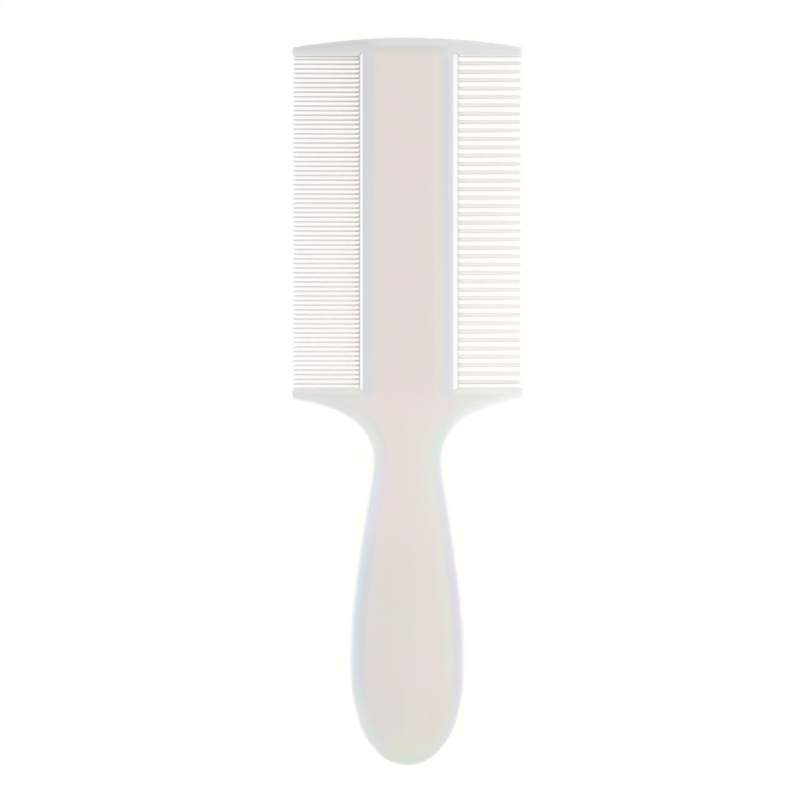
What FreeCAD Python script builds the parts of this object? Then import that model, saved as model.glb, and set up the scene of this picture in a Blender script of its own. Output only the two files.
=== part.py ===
"""Two-sided flea comb: one moulded frame (end bar, spine, shoulder, handle)
with a fine-toothed strip seated along one side of the spine and a
coarse-toothed strip along the other.

Frame: millimetres. The comb lies flat. +X is across the comb (the coarse
teeth are on +X, the fine teeth on -X), +Y runs along the comb towards the
head, +Z is up, through the thickness. The origin is the centre of the
footprint at the face the comb lies on. The pieces are modelled about their
mid plane, z = 0, and lifted by half the thickness when written.
"""
import FreeCAD
import Part
import math
import os

Vector = FreeCAD.Vector

# ---------------------------------------------------------------- overall
LENGTH = 189.8            # handle tip to top of the end bar
WIDTH = 60.0              # across the end bar and the shoulder
THICKNESS = 4.4           # spine and handle, face to face
HALF_THICK = THICKNESS / 2.0
HALF_WIDTH = WIDTH / 2.0

# ---------------------------------------------------------------- tooth window
BAR_MIDDLE = 4.83         # end bar height on the centre line
BAR_END = 2.30            # height of the end bar at its outer ends
WINDOW_LENGTH = 86.47     # clear height between end bar and shoulder
BAR_CORNER = 0.8          # plan corner radius, outer ends of the end bar
SHOULDER_CORNER = 0.6     # plan corner radius, outer ends of the shoulder

Y_TIP = -LENGTH / 2.0
Y_TOP = LENGTH / 2.0
Y_WINDOW_TOP = Y_TOP - BAR_MIDDLE
Y_WINDOW_BOTTOM = Y_WINDOW_TOP - WINDOW_LENGTH

# ---------------------------------------------------------------- edges, spine
# Edge profiles: (inset from the outline, half thickness there)
EDGE = [
    (0.00, 1.00),
    (0.15, 1.38),
    (0.45, 1.62),
    (1.00, 1.76),
    (3.90, HALF_THICK),
]
END_EDGE = [              # at the square-cut outer ends
    (0.00, 1.45),
    (0.30, 1.75),
    (0.90, HALF_THICK),
]
SPINE_HALF = 11.60        # half width of the spine, to the strip seats
BEVEL_WIDTH = 2.90        # shallow bevel along each side of the spine
BEVEL_LOW = 1.76          # half thickness at the foot of the bevel

# ---------------------------------------------------------------- strips
SEAT = 0.85               # length of rail let into the end bar and the shoulder
MITRE = 0.62              # share of the rail width cut off slanting at its ends
STRAIGHT = 0.20           # square part of a rail end, beyond the slant
FIT = 0.02                # clearance around rail ends and tongues
TONGUE_DEPTH = 1.20       # depth of the tongue in the spine
TONGUE_HALF = 0.55        # half thickness of the tongue
GROOVE_OVERLAP = 0.05     # groove tool run out past the side of the spine

RAIL_HALF = 1.05          # nominal half thickness of the rail's outer edge
RAIL_CHAMFER = 0.12       # width of the small chamfer on that edge
CHAMFER_RISE = 0.06       # chamfer's inner end, above the nominal
CHAMFER_DROP = 0.08       # chamfer's outer end, below the nominal

# Teeth: "land" and "mid" are the half widths at the root, on the flat faces
# and at the mid plane. "first" is the first tooth's distance from the top.
FINE = {
    "rail": 1.15,         # width of the rail beyond the spine
    "count": 71,
    "first": 5.53,
    "pitch": 1.2114,
    "tip_x": 29.97,
    "land": 0.180,
    "mid": 0.250,
    "tip_scale": 0.86,    # width where the point starts, as a share of the root
    "point": 0.80,        # length of the pointed end
}
COARSE = {
    "rail": 1.80,
    "count": 39,
    "first": 6.52,
    "pitch": 2.1916,
    "tip_x": 29.80,
    "land": 0.440,
    "mid": 0.560,
    "tip_scale": 0.84,
    "point": 1.20,
}
ROOT_OVERLAP = 0.20       # tooth root sunk into the rail
TOOTH_ROOT_Z = 1.00       # tooth half thickness at the root
TOOTH_NECK_Z = 0.62       # tooth half thickness where the point starts
# Pointed end: (distance from the tip as a share of the point's length,
# share of the neck width, half thickness)
POINT_STATIONS = [
    (1.00, 1.00, TOOTH_NECK_Z),
    (0.28, 0.72, 0.62 * TOOTH_NECK_Z),
    (0.00, 0.30, 0.22),
]

# ---------------------------------------------------------------- handle
# Right half of the outline below the head: (half width, distance from the
# handle tip), from the tip round the bulb, through the neck and out along
# the lower edge of the shoulder, past the comb's width.
OUTLINE = [
    (0.00, 0.00), (4.10, 0.78), (6.75, 2.31), (8.90, 4.40), (10.55, 6.50),
    (11.80, 8.75), (13.16, 12.75), (14.18, 16.95), (14.74, 21.10),
    (14.97, 25.20), (14.95, 29.80), (14.77, 34.52), (14.46, 39.23),
    (14.05, 43.91), (13.52, 48.56), (12.83, 53.18), (12.12, 57.78),
    (11.39, 62.37), (10.62, 66.99), (9.80, 71.67), (9.15, 76.37),
    (9.10, 80.98), (10.42, 85.33), (13.55, 89.17), (17.74, 91.80),
    (22.13, 93.44), (26.49, 94.77), (31.03, 96.05), (35.60, 97.30),
    (40.20, 98.55),
]
OUTLINE_SAMPLES = 161     # points taken along the smooth outline

# ---------------------------------------------------------------- tool sizes
OVERRUN = 5.0             # blanks and tools run this far past what they meet
SPINE_OVERRUN = 3.0       # spine blank above the top, before it is arched
BLANK_HALF_WIDTH = 50.0   # blanks that are later trimmed to the width
HANDLE_TOP_HALF = 46.0    # half width of the handle blank's top edge
HANDLE_OVERRUN = 12.0     # handle blank above the shoulder
TOOL_HEIGHT = 10.0        # cutting tools, centred on the mid plane
CORNER_BLOCK = 3.0        # side of the block that cuts a plan corner


def closed_polygon(points):
    """Closed wire through (x, y, z) points."""
    return Part.makePolygon([Vector(*point) for point in points]
                            + [Vector(*points[0])])


def prism(points, direction):
    """Solid from a closed polygon pushed along a vector."""
    return Part.Face(closed_polygon(points)).extrude(Vector(*direction))


def mirrored(shape):
    """The same shape on the other side of the comb's centre plane."""
    return shape.mirror(Vector(0, 0, 0), Vector(1, 0, 0))


def edge_levels(profile):
    """Edge profile as (inset, z), from the lower face to the upper face."""
    lower = [(inset, -half) for inset, half in reversed(profile)]
    upper = [(inset, half) for inset, half in profile]
    return lower + upper


# ---------------------------------------------------------------- frame
def smooth_outline():
    """Evenly spaced points on one smooth curve through the outline."""
    right = [(x, y + Y_TIP) for x, y in OUTLINE]
    left = [(-x, y) for x, y in reversed(right[1:])]
    curve = Part.BSplineCurve()
    curve.interpolate([Vector(x, y, 0) for x, y in left + right])
    samples = curve.toShape().discretize(OUTLINE_SAMPLES)
    return [(point.x, point.y) for point in samples]


def inset_points(points, inset):
    """Outline points moved inwards, square to the outline."""
    moved = []
    last = len(points) - 1
    for i, (x, y) in enumerate(points):
        before = points[max(i - 1, 0)]
        after = points[min(i + 1, last)]
        along_x, along_y = after[0] - before[0], after[1] - before[1]
        size = math.hypot(along_x, along_y)
        # the outline runs from the left shoulder round the tip to the right
        # shoulder, so the material is on the left of the travel direction
        moved.append((x - along_y / size * inset, y + along_x / size * inset))
    return moved


def level_wire(points, inset, z):
    """Closed outline at one height, run on past the shoulder for trimming."""
    moved = inset_points(points, inset)
    curve = Part.BSplineCurve()
    curve.interpolate([Vector(x, y, z) for x, y in moved])
    left_end = Vector(*moved[0], z)
    right_end = Vector(*moved[-1], z)
    y_top = Y_WINDOW_BOTTOM + HANDLE_OVERRUN
    top_right = Vector(HANDLE_TOP_HALF, y_top, z)
    top_left = Vector(-HANDLE_TOP_HALF, y_top, z)
    return Part.Wire([
        curve.toShape(),
        Part.makeLine(right_end, top_right),
        Part.makeLine(top_right, top_left),
        Part.makeLine(top_left, left_end),
    ])


def straight_edged_slab(y_far, y_edge, inward):
    """Wide slab from y_far to an edge along X that has the edge profile.
    inward is the Y sign that leads from the edge into the material."""
    section = [(y_far, -HALF_THICK)]
    section += [(y_edge + inward * inset, z) for inset, z in edge_levels(EDGE)]
    section += [(y_far, HALF_THICK)]
    return prism([(-BLANK_HALF_WIDTH, y, z) for y, z in section],
                 (2.0 * BLANK_HALF_WIDTH, 0, 0))


def handle_and_shoulder():
    """Lofted handle, cut off straight at the upper edge of the shoulder."""
    points = smooth_outline()
    wires = [level_wire(points, inset, z) for inset, z in edge_levels(EDGE)]
    body = Part.makeLoft(wires, True, True)
    return body.common(straight_edged_slab(Y_TIP - OVERRUN, Y_WINDOW_BOTTOM, -1))


def top_disc():
    """Disc whose rim is the arched top of the comb."""
    sag = BAR_MIDDLE - BAR_END
    radius = (HALF_WIDTH ** 2 + sag ** 2) / (2.0 * sag)
    centre = Y_TOP - radius
    section = [(0, centre, -HALF_THICK)]
    section += [(0, centre + radius - inset, z) for inset, z in edge_levels(EDGE)]
    section += [(0, centre, HALF_THICK)]
    face = Part.Face(closed_polygon(section))
    return face.revolve(Vector(0, centre, 0), Vector(0, 0, 1), 360)


def end_bar(disc):
    """Bar above the tooth window, arched on top."""
    return straight_edged_slab(Y_TOP + OVERRUN, Y_WINDOW_TOP, 1).common(disc)


def spine(disc):
    """Bevelled spine from inside the shoulder to the arched top."""
    flat = SPINE_HALF - BEVEL_WIDTH
    section = [(-SPINE_HALF, -BEVEL_LOW), (-flat, -HALF_THICK),
               (flat, -HALF_THICK), (SPINE_HALF, -BEVEL_LOW),
               (SPINE_HALF, BEVEL_LOW), (flat, HALF_THICK),
               (-flat, HALF_THICK), (-SPINE_HALF, BEVEL_LOW)]
    base = Y_WINDOW_BOTTOM - OVERRUN
    bar = prism([(x, base, z) for x, z in section],
                (0, Y_TOP + SPINE_OVERRUN - base, 0))
    return bar.common(disc)


def width_trim():
    """Block that shapes the outer ends of the bar and the shoulder."""
    levels = edge_levels(END_EDGE)
    section = [(HALF_WIDTH - inset, z) for inset, z in levels]
    section += [(-(HALF_WIDTH - inset), -z) for inset, z in levels]
    return prism([(x, Y_TIP - OVERRUN, z) for x, z in section],
                 (0, LENGTH + 2.0 * OVERRUN, 0))


def round_corner(x_sign, y_corner, y_sign, radius):
    """Piece to remove so that a plan corner gets its radius."""
    x = x_sign * (HALF_WIDTH - radius)
    y = y_corner - y_sign * radius
    z = -TOOL_HEIGHT / 2.0
    block = Part.makeBox(CORNER_BLOCK, CORNER_BLOCK, TOOL_HEIGHT)
    block.translate(Vector(x if x_sign > 0 else x - CORNER_BLOCK,
                           y if y_sign > 0 else y - CORNER_BLOCK, z))
    post = Part.makeCylinder(radius, TOOL_HEIGHT, Vector(x, y, z))
    return block.cut(post)


def rail_plan(inner, rail, grow):
    """Room a rail takes, from an inner x out to its edge, mitred on the outer
    side where it runs into the end bar and the shoulder."""
    edge = SPINE_HALF + rail + grow
    mitred = edge - MITRE * rail
    low = Y_WINDOW_BOTTOM - SEAT - grow
    high = Y_WINDOW_TOP + SEAT + grow
    slant = SEAT - STRAIGHT
    plan = [(inner, low), (mitred, low), (edge, low + slant),
            (edge, high - slant), (mitred, high), (inner, high)]
    return prism([(x, y, -TOOL_HEIGHT / 2.0) for x, y in plan],
                 (0, 0, TOOL_HEIGHT))


def strip_seat(rail):
    """Room for one strip's rail ends and tongue, on the +X side."""
    ends = rail_plan(SPINE_HALF, rail, FIT)
    groove = Part.makeBox(TONGUE_DEPTH + FIT + GROOVE_OVERLAP,
                          WINDOW_LENGTH + 2.0 * (SEAT + FIT),
                          2.0 * (TONGUE_HALF + FIT),
                          Vector(SPINE_HALF - TONGUE_DEPTH - FIT,
                                 Y_WINDOW_BOTTOM - SEAT - FIT,
                                 -TONGUE_HALF - FIT))
    return ends.fuse(groove)


def frame_handle():
    """Handle, shoulder, spine and end bar in one, with both strip seats."""
    disc = top_disc()
    body = handle_and_shoulder()
    body = body.fuse([spine(disc), end_bar(disc)])
    body = body.common(width_trim())
    seats = {-1: mirrored(strip_seat(FINE["rail"])),
             1: strip_seat(COARSE["rail"])}
    for x_sign, seat in seats.items():
        for tool in (
            round_corner(x_sign, Y_WINDOW_TOP + BAR_END, 1, BAR_CORNER),
            round_corner(x_sign, Y_WINDOW_TOP, -1, BAR_CORNER),
            round_corner(x_sign, Y_WINDOW_BOTTOM, 1, SHOULDER_CORNER),
            seat,
        ):
            body = body.cut(tool)
    return body.removeSplitter()


# ---------------------------------------------------------------- strips
def tooth_section(x, y, land, mid, half_z):
    """Hexagon square to X: flat lands on both faces, widest midway."""
    return closed_polygon([
        (x, y - land, half_z), (x, y + land, half_z), (x, y + mid, 0.0),
        (x, y + land, -half_z), (x, y - land, -half_z), (x, y - mid, 0.0)])


def tooth(strip, rail_edge, y):
    """One tooth: a tapering shank and a pointed end."""
    land, mid = strip["land"], strip["mid"]
    sections = [tooth_section(rail_edge - ROOT_OVERLAP, y, land, mid,
                              TOOTH_ROOT_Z)]
    for from_tip, share, half_z in POINT_STATIONS:
        scale = strip["tip_scale"] * share
        sections.append(tooth_section(strip["tip_x"] - from_tip * strip["point"],
                                      y, land * scale, mid * scale, half_z))
    return Part.makeLoft(sections, True, True)


def tooth_strip(strip):
    """Rail, tongue and teeth of one strip, on the +X side."""
    edge = SPINE_HALF + strip["rail"]
    tongue_x = SPINE_HALF - TONGUE_DEPTH
    upper = [(edge, RAIL_HALF - CHAMFER_DROP),
             (edge - RAIL_CHAMFER, RAIL_HALF + CHAMFER_RISE),
             (SPINE_HALF, BEVEL_LOW),
             (SPINE_HALF, TONGUE_HALF),
             (tongue_x, TONGUE_HALF)]
    section = [(x, -z) for x, z in reversed(upper)] + upper
    body = prism([(x, Y_WINDOW_BOTTOM - SEAT, z) for x, z in section],
                 (0, WINDOW_LENGTH + 2.0 * SEAT, 0))
    # the plan starts well inside the tongue, so it only mitres the rail ends
    body = body.common(rail_plan(SPINE_HALF - 3.0, strip["rail"], 0.0))
    teeth = [tooth(strip, edge, Y_TOP - strip["first"] - i * strip["pitch"])
             for i in range(strip["count"])]
    return body.fuse(teeth).removeSplitter()


# ---------------------------------------------------------------- output
pieces = {
    "frame_handle": frame_handle(),
    "fine_tooth_strip": mirrored(tooth_strip(FINE)),
    "coarse_tooth_strip": tooth_strip(COARSE),
}

os.makedirs("parts", exist_ok=True)
for name, shape in pieces.items():
    solid = max(shape.Solids, key=lambda candidate: candidate.Volume)
    solid.translate(Vector(0, 0, HALF_THICK))
    solid.exportStep("parts/" + name + ".step")
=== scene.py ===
"""A flat comb: a moulded frame with a strip of teeth let into each side.

It lies on the floor, from z = 0 to THICK, centred on X and Y. The handle's tip is at -Y
and the end bar at +Y. Fine teeth point to -X (left) and coarse teeth to +X (right).
Shapes are worked out in millimetres and scaled to metres when a mesh is made.
"""
import math
import random
from types import SimpleNamespace

import bmesh
import bpy
import numpy as np
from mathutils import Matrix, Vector
from mathutils.geometry import delaunay_2d_cdt


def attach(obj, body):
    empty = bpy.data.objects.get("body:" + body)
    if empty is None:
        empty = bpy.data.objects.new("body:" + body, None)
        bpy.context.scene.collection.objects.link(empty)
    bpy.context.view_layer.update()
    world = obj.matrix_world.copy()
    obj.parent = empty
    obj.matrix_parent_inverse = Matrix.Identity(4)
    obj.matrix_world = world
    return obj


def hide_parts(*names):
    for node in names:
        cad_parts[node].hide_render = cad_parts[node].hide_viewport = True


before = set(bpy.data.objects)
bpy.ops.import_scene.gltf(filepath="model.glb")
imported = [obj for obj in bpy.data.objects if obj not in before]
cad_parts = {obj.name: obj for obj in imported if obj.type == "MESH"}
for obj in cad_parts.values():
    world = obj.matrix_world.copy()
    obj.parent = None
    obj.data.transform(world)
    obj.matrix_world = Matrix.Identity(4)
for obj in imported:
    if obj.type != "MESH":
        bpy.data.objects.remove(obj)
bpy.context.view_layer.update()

MM = 0.001
random.seed(7)
rng = np.random.default_rng(7)

# ------------------------------------------------------------------ sizes, mm
LENGTH, WIDTH, THICK = 189.8, 60.0, 4.4
HALF_T, HALF_W = THICK / 2, WIDTH / 2
Y_TIP, Y_TOP = -LENGTH / 2, LENGTH / 2
# the window is the stretch of both sides that holds the teeth
WINDOW_TOP, WINDOW_LEN = 4.83, 86.47    # end bar's middle to window, window's length
BAR_END = 2.30                          # thickness of the end bar at its outer ends
Y_WIN_TOP = Y_TOP - WINDOW_TOP
Y_WIN_BOT = Y_WIN_TOP - WINDOW_LEN
SPINE = 11.60                           # half width of the spine between the strips

# the rails run on past the window into seats, with their outer corners mitred
SEAT = 0.85                             # depth of a seat
STRAIGHT = 0.20                         # part of that depth before the mitre
SLANT = SEAT - STRAIGHT
MITRE = 0.62                            # share of the rail's width cut away
RAIL_LOW, RAIL_HIGH = Y_WIN_BOT - SEAT, Y_WIN_TOP + SEAT
GAP = 0.025                             # parting line between a strip and the frame
SEAT_LOW, SEAT_HIGH = RAIL_LOW - GAP, RAIL_HIGH + GAP
TONGUE_IN, TONGUE_HALF = 1.20, 0.55     # tongue on a rail: reach, half thickness
INSET = 0.03                            # keeps the mesh just inside the CAD box
FIT = np.array([(HALF_W - INSET) / HALF_W, (LENGTH / 2 - INSET) / (LENGTH / 2), 1.0])

# the end bar's arched top is part of a circle
SAG = WINDOW_TOP - BAR_END
ARC_R = (HALF_W ** 2 + SAG ** 2) / (2 * SAG)
ARC_Y = Y_TOP - ARC_R

# right half of the handle and shoulder: x, distance up from the tip
HANDLE = [
    (0.00, 0.00), (4.10, 0.78), (6.75, 2.31), (8.90, 4.40), (10.55, 6.50),
    (11.80, 8.75), (13.16, 12.75), (14.18, 16.95), (14.74, 21.10),
    (14.97, 25.20), (14.95, 29.80), (14.77, 34.52), (14.46, 39.23),
    (14.05, 43.91), (13.52, 48.56), (12.83, 53.18), (12.12, 57.78),
    (11.39, 62.37), (10.62, 66.99), (9.80, 71.67), (9.15, 76.37),
    (9.10, 80.98), (10.42, 85.33), (13.55, 89.17), (17.74, 91.80),
    (22.13, 93.44), (26.49, 94.77), (31.03, 96.05), (35.60, 97.30),
    (40.20, 98.55),
]

# The two strips.
#   rail: width of the rail            first: first tooth's centre, down from Y_TOP
#   tip: tooth ends, out from x = 0    point: length of a tooth's rounded end
#   land, mid: half widths of a tooth on its face and at its middle plane
#   shrink: width left where the rounded end starts, as a share of the root's
FINE = SimpleNamespace(rail=1.15, count=71, first=5.53, pitch=1.2114, tip=29.95,
                       land=0.170, mid=0.243, shrink=0.86, point=0.78)
COARSE = SimpleNamespace(rail=1.80, count=39, first=6.52, pitch=2.1916, tip=29.78,
                         land=0.425, mid=0.550, shrink=0.84, point=1.18)

# moulding: distance in from the outline, half thickness, its slope.
# A rounded steep edge, a shallow bevel, then the flat face.
PROFILE = [
    (0.00, 1.00, 5.00), (0.06, 1.21, 2.50), (0.17, 1.405, 1.20), (0.36, 1.575, 0.62),
    (0.60, 1.675, 0.28), (0.95, 1.755, 0.185), (3.35, 2.115, 0.140), (4.10, 2.194, 0.0),
    (9.00, 2.194, 0.0),
]


# ------------------------------------------------------------------ curves
def run_length(points):
    """Distance along a polyline at each of its points."""
    return np.r_[0, np.cumsum(np.hypot(*np.diff(points, axis=0).T))]


def cubic_through(points, step):
    """Evenly spaced points on the natural cubic spline through the points."""
    points = np.array(points, float)
    knots = run_length(points)
    count = len(points)
    span = np.diff(knots)
    matrix = np.zeros((count, count))
    rhs = np.zeros((count, 2))
    matrix[0, 0] = matrix[-1, -1] = 1.0
    for i in range(1, count - 1):
        before, after = span[i - 1], span[i]
        matrix[i, i - 1:i + 2] = before, 2 * (before + after), after
        rhs[i] = 6 * ((points[i + 1] - points[i]) / after
                      - (points[i] - points[i - 1]) / before)
    bend = np.linalg.solve(matrix, rhs)

    at = np.linspace(0, knots[-1], 8000)
    i = np.clip(np.searchsorted(knots, at) - 1, 0, count - 2)
    to_next, past, size = (knots[i + 1] - at)[:, None], (at - knots[i])[:, None], span[i][:, None]
    fine = (bend[i] * to_next ** 3 / (6 * size) + bend[i + 1] * past ** 3 / (6 * size)
            + (points[i] / size - bend[i] * size / 6) * to_next
            + (points[i + 1] / size - bend[i + 1] * size / 6) * past)
    run = run_length(fine)
    want = np.linspace(0, run[-1], max(2, int(round(run[-1] / step))) + 1)
    return np.c_[np.interp(want, run, fine[:, 0]), np.interp(want, run, fine[:, 1])]


def corner_arc(before, corner, after, radius, step):
    """Points of the arc that rounds a corner, or the corner itself."""
    if radius <= 0:
        return [corner]
    u, v = before - corner, after - corner
    len_u, len_v = np.linalg.norm(u), np.linalg.norm(v)
    u, v = u / len_u, v / len_v
    angle = math.acos(max(-1, min(1, float(u @ v))))
    cut = min(radius / math.tan(angle / 2), 0.95 * len_u, 0.95 * len_v)
    radius = cut * math.tan(angle / 2)
    start, end = corner + u * cut, corner + v * cut
    centre = corner + (u + v) / np.linalg.norm(u + v) * (radius / math.sin(angle / 2))
    first = math.atan2(*(start - centre)[::-1])
    last = math.atan2(*(end - centre)[::-1])
    turn = (last - first + math.pi) % (2 * math.pi) - math.pi
    parts = max(3, int(abs(turn) * radius / (0.35 * step)) + 2)
    return [centre + radius * np.array([math.cos(first + turn * k / parts),
                                        math.sin(first + turn * k / parts)])
            for k in range(parts + 1)]


def rounded(corners, step):
    """Closed polyline from (x, y, radius) corners. Long sides are divided, and
    runs of dense points are kept as they are."""
    count = len(corners)
    places = [np.array(corner[:2], float) for corner in corners]
    arcs = [corner_arc(places[i - 1], places[i], places[(i + 1) % count], corners[i][2], step)
            for i in range(count)]
    points = []
    for i, arc in enumerate(arcs):
        points += arc
        start, end = arc[-1], arcs[(i + 1) % count][0]
        side = math.dist(start, end)
        if side > 1.4 * step:
            k = np.linspace(0, 1, max(1, int(round(side / step))) + 1)[:, None]
            points += list((start * (1 - k) + end * k)[1:-1])
    loop = [points[0]]
    for point in points[1:]:
        if math.dist(point, loop[-1]) > 1e-4:
            loop.append(point)
    if math.dist(loop[0], loop[-1]) < 1e-4:
        loop.pop()
    return np.array(loop)


def unit(vectors):
    return vectors / np.linalg.norm(vectors, axis=1)[:, None]


def normals_in(loop):
    """Unit normals on the left of a closed anticlockwise loop."""
    along = unit(unit(loop - np.roll(loop, 1, axis=0)) + unit(np.roll(loop, -1, axis=0) - loop))
    return np.c_[-along[:, 1], along[:, 0]]


class Distance:
    """Signed distance to a closed anticlockwise loop, inside positive."""

    REACH = 17.0              # nothing asked about lies farther from the loop
    BATCH = 700               # points measured at a time

    def __init__(self, loop):
        following = np.roll(loop, -1, axis=0)
        self.start = loop
        self.side = following - loop
        self.length2 = (self.side ** 2).sum(1)
        self.low = np.minimum(loop[:, 1], following[:, 1]) - self.REACH
        self.high = np.maximum(loop[:, 1], following[:, 1]) + self.REACH

    def __call__(self, points):
        points = np.asarray(points, float)
        result = np.empty(len(points))
        order = np.argsort(points[:, 1], kind="stable")
        for first in range(0, len(points), self.BATCH):
            ids = order[first:first + self.BATCH]
            batch = points[ids]
            near = (self.low <= batch[-1, 1]) & (self.high >= batch[0, 1])
            start_x, start_y = self.start[near].T
            side_x, side_y = self.side[near].T
            to_x, to_y = batch[:, :1] - start_x, batch[:, 1:] - start_y
            k = np.clip((to_x * side_x + to_y * side_y) / self.length2[near], 0, 1)
            off_x, off_y = to_x - k * side_x, to_y - k * side_y
            gap2 = off_x * off_x + off_y * off_y
            j = gap2.argmin(1)
            cross = (side_x[j] * (batch[:, 1] - start_y[j])
                     - side_y[j] * (batch[:, 0] - start_x[j]))
            nearest2 = gap2[np.arange(len(batch)), j]
            result[ids] = np.sqrt(nearest2) * np.where(cross >= 0, 1, -1)
        return result


def half_thickness(dist):
    """Hermite curve through PROFILE."""
    xs, ys, slopes = np.array(PROFILE).T
    dist = np.clip(dist, xs[0], xs[-1])
    i = np.clip(np.searchsorted(xs, dist, side="right") - 1, 0, len(xs) - 2)
    h = xs[i + 1] - xs[i]
    t = (dist - xs[i]) / h
    return ((2 * t ** 3 - 3 * t ** 2 + 1) * ys[i] + (t ** 3 - 2 * t ** 2 + t) * h * slopes[i]
            + (-2 * t ** 3 + 3 * t ** 2) * ys[i + 1] + (t ** 3 - t ** 2) * h * slopes[i + 1])


# ------------------------------------------------------------------ outlines
OVERRUN = 3.2                 # how far the height outline passes the outer ends
OUTLINE_STEP = 0.45

right = [(x, y + Y_TIP) for x, y in HANDLE]
left = [(-x, y) for x, y in reversed(right[1:])]
handle_curve = cubic_through(left + right, 0.42)


def window_side(strip, seated):
    """Corners (x, y, radius) along a window, upwards and on the +X side."""
    if not seated:
        return [(SPINE + 1.0, Y_WIN_BOT, 0.22), (SPINE + 1.0, Y_WIN_TOP, 0.22)]
    edge = SPINE + strip.rail + GAP
    mitred = edge - MITRE * strip.rail
    return [(edge, Y_WIN_BOT, 0.10), (edge, SEAT_LOW + SLANT, 0.0), (mitred, SEAT_LOW, 0.0),
            (SPINE, SEAT_LOW, 0.0), (SPINE, SEAT_HIGH, 0.0),
            (mitred, SEAT_HIGH, 0.0), (edge, SEAT_HIGH - SLANT, 0.0), (edge, Y_WIN_TOP, 0.10)]


def outline(seated):
    """Plan outline of the frame, anticlockwise. Seated, it is the frame's own
    edge, with the seats for the rail ends cut into the end bar and the
    shoulder. If not, it is the outline that sets the heights: it runs past
    the outer ends, which are cut off square."""
    half = HALF_W if seated else HALF_W + OVERRUN
    on = float(seated)        # only the frame's own outer corners are rounded
    run = handle_curve[np.abs(handle_curve[:, 0]) < half - 0.10]
    slope = (run[-1, 1] - run[-2, 1]) / (run[-1, 0] - run[-2, 0])
    end_y = run[-1, 1] + slope * (half - run[-1, 0])
    arc_end_y = ARC_Y + math.sqrt(ARC_R ** 2 - half ** 2)
    corners = [(x, y, 0.0) for x, y in run]
    corners += [(half, end_y, 0.40 * on), (half, Y_WIN_BOT, 0.45 * on)]
    corners += window_side(COARSE, seated)
    corners += [(half, Y_WIN_TOP, 0.40 * on), (half, arc_end_y, 0.60 * on)]
    corners += [(x, ARC_Y + math.sqrt(ARC_R ** 2 - x * x), 0.0)
                for x in np.linspace(half - 0.3, -(half - 0.3), 145)]
    corners += [(-half, arc_end_y, 0.85 * on), (-half, Y_WIN_TOP, 0.85 * on)]
    corners += [(-x, y, radius) for x, y, radius in reversed(window_side(FINE, seated))]
    corners += [(-half, Y_WIN_BOT, 0.60 * on), (-half, end_y, 0.55 * on)]
    return rounded(corners, OUTLINE_STEP)


height_loop = outline(False)
edge_loop = outline(True)
distance = Distance(height_loop)
edge_distance = Distance(edge_loop)


def soft_distance(points):
    """Distance to the height outline with its ridges and valleys rounded, by
    averaging over two rings of six places round each point."""
    result = distance(points)
    y = points[:, 1]
    near = (y > Y_WIN_TOP - 5) | ((y > Y_WIN_BOT - 15) & (y < Y_WIN_BOT + 5))
    near &= (result > 0.55) & (result < 4.7)
    centre = points[near]
    total = 0.28 * result[near]
    for radius, weight, turn in ((0.24, 0.44, 0.0), (0.48, 0.28, 0.5)):
        for k in range(6):
            angle = math.pi * (k + turn) / 3
            shift = radius * np.array([math.cos(angle), math.sin(angle)])
            total = total + weight / 6 * distance(centre + shift)
    result[near] = total
    return result


# ------------------------------------------------------------------ frame mesh
# distances in from the height outline that get a ring of points
RINGS = [0.03, 0.07, 0.12, 0.18, 0.26, 0.36, 0.48, 0.62, 0.80, 1.00, 1.25,
         1.60, 2.00, 2.40, 2.80, 3.15, 3.40, 3.70, 4.10, 4.75]
END_RINGS = (0.05, 0.12, 0.22, 0.36)    # the same, in from the square outer ends
THIN_FROM, THIN_SPACING = 1.2, 0.36     # rings farther in than this are thinned
PART_RIDGE = 0.020                      # ridge round the free edges: height,
RIDGE_HALF = 0.09                       # half width,
RIDGE_FOOT = 0.2                        # share of its height at its sides
SEAT_DROP = 0.035                       # the faces drop by this at the seats
FRAME_SHARP, STRIP_SHARP = 32.0, 38.0   # edges sharper than this shade sharp, degrees


def thinned(ring, keep):
    """Keep points at least THIN_SPACING apart, starting afresh after a break."""
    result = np.zeros(len(ring), bool)
    last = None
    for i in range(len(ring)):
        if not keep[i]:
            last = None
        elif last is None or math.dist(ring[i], ring[last]) > THIN_SPACING:
            result[i] = True
            last = i
    return result


def add_rings(points, edges):
    """Rings of linked points that follow the height outline."""
    normals = normals_in(height_loop)
    for d in RINGS:
        ring = height_loop + normals * d
        # drop the ring where it meets the ring of another side
        keep = np.abs(distance(ring) - d) < 0.012 + 0.01 * d
        keep &= edge_distance(ring) > (0.022 if d < 1.1 else 0.06)
        if d > THIN_FROM:
            keep = thinned(ring, keep)
        ids = [int(i) for i in np.nonzero(keep)[0]]
        index = {i: len(points) + k for k, i in enumerate(ids)}
        points += [tuple(ring[i]) for i in ids]
        links = [(i, j) for i, j in zip(ids, ids[1:] + ids[:1])
                 if math.dist(ring[i], ring[j]) < 1.15 and (j - i) % len(ring) < 5]
        if links:
            middles = np.array([(ring[i] + ring[j]) / 2 for i, j in links])
            inside = edge_distance(middles) > 0.012
            edges += [(index[i], index[j]) for (i, j), ok in zip(links, inside) if ok]


def add_end_points(points):
    """Points for rounding the square-cut outer ends."""
    normals = normals_in(edge_loop)
    at_end = np.abs(edge_loop[:, 0]) > HALF_W - 1.0
    for d in END_RINGS:
        ring = (edge_loop + normals * d)[at_end]
        ring = ring[np.abs(edge_distance(ring) - d) < 0.01]
        points += [tuple(p) for p in ring[distance(ring) > 0.30]]


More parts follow.
